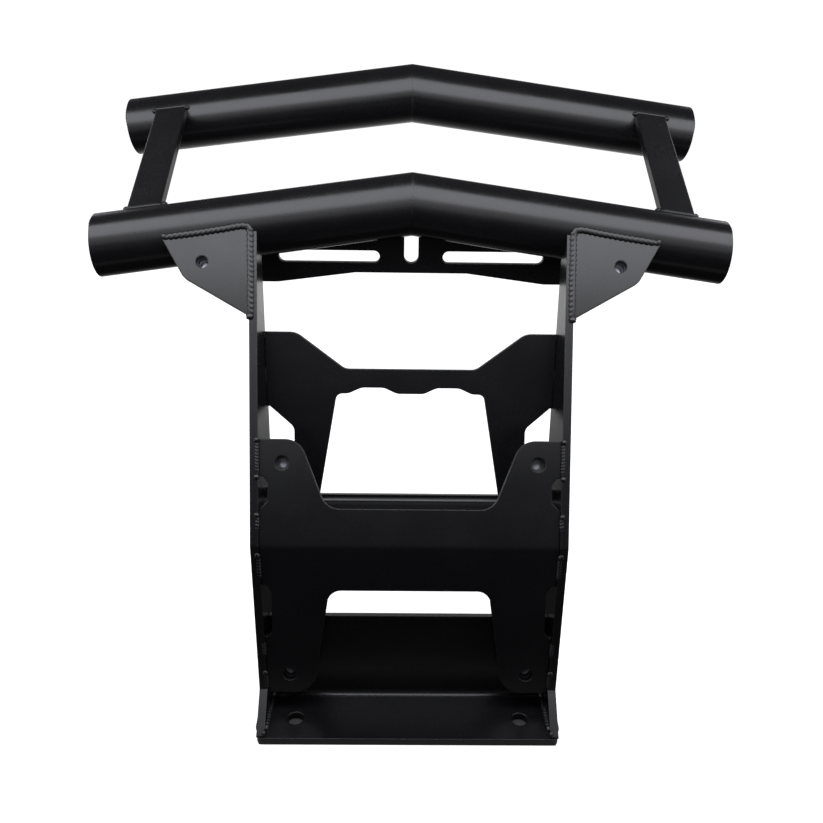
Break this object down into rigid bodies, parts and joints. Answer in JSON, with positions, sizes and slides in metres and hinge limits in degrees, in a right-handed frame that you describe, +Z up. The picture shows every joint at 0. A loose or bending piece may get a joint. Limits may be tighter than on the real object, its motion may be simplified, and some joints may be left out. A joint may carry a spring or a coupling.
{
  "type": "atv front bumper",
  "caption": "Welded steel front bumper: stacked cross tubes on two upright side plates with a folded front plate and a bolt-on base.",
  "frame": {"origin": "midway between the two base bolt holes, on the underside of the base plate", "axes": "+X across the machine to the bumper's right, +Y back from its front, +Z up"},
  "size_m": [0.535, 0.4015, 0.4696],
  "materials": {
    "coated_steel": "semi-gloss black powder coat",
    "weld_nuts": "thin black coat over plated steel"
  },
  "bodies": {
    "root": {"lower_tube_left": "coated_steel", "lower_tube_right": "coated_steel", "upper_tube_left": "coated_steel", "upper_tube_right": "coated_steel", "lower_tube_cap_left": "coated_steel", "lower_tube_cap_right": "coated_steel", "upper_tube_cap_left": "coated_steel", "upper_tube_cap_right": "coated_steel", "strap_left": "coated_steel", "strap_right": "coated_steel", "side_plate_left": "coated_steel", "side_plate_right": "coated_steel", "gusset_left": "coated_steel", "gusset_right": "coated_steel", "slotted_crossmember": "coated_steel", "rear_plate": "coated_steel", "front_plate": "coated_steel", "base_plate": "coated_steel", "weld_nuts": "weld_nuts"}
  },
  "joints": []
}
